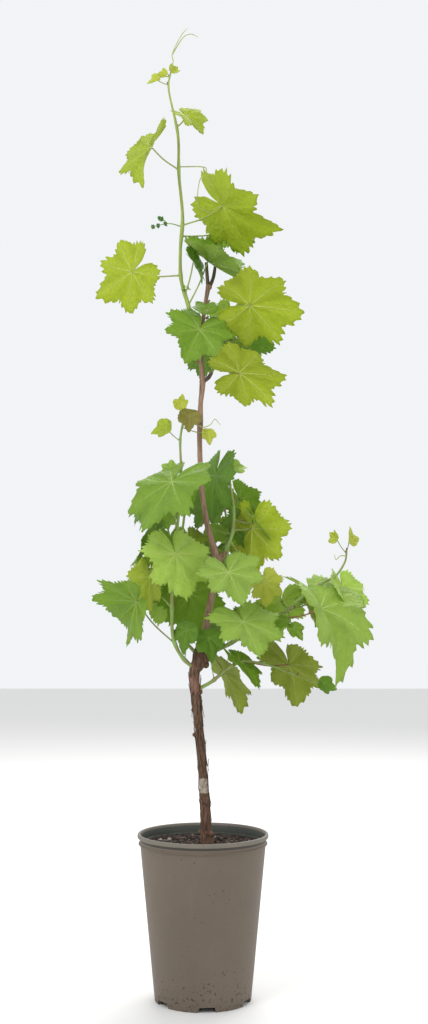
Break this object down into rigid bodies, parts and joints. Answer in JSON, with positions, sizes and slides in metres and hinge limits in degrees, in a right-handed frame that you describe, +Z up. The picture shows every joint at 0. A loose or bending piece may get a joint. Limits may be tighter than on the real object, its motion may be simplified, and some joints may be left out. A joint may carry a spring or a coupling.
{
  "type": "potted grapevine",
  "caption": "Young grapevine with a gnarled trunk, woody cane, green leafy shoots and tendrils, standing in a tapered nursery pot.",
  "frame": {"origin": "middle of the flat underside of the pot", "axes": "+Z up along the trunk, +X to the right as in the picture, -Y towards the viewer"},
  "size_m": [0.4541, 0.3208, 1.5792],
  "materials": {
    "pot_plastic": "matte, scuffed, grey-brown",
    "compost": "dark, damp, lumpy potting compost",
    "trunk_bark": "dark flaking bark",
    "cane_wood": "smooth brown cane with pale streaks",
    "foliage": "soft green leaves",
    "leader_foliage": "young yellow-green leaves"
  },
  "bodies": {
    "root": {"pot": "pot_plastic", "compost": "compost", "trunk": "trunk_bark", "lower_cane": "cane_wood", "upper_cane": "cane_wood", "left_prong": "cane_wood", "right_prong": "cane_wood", "leader_stub": "cane_wood", "spur_stub": "cane_wood", "middle_spur": "cane_wood", "leader_shoot": "leader_foliage", "upper_shoot": "foliage", "left_shoot": "foliage", "middle_shoot": "foliage", "right_shoot": "foliage", "low_shoot": "foliage", "back_left_shoot": "foliage", "back_right_shoot": "foliage"}
  },
  "joints": []
}
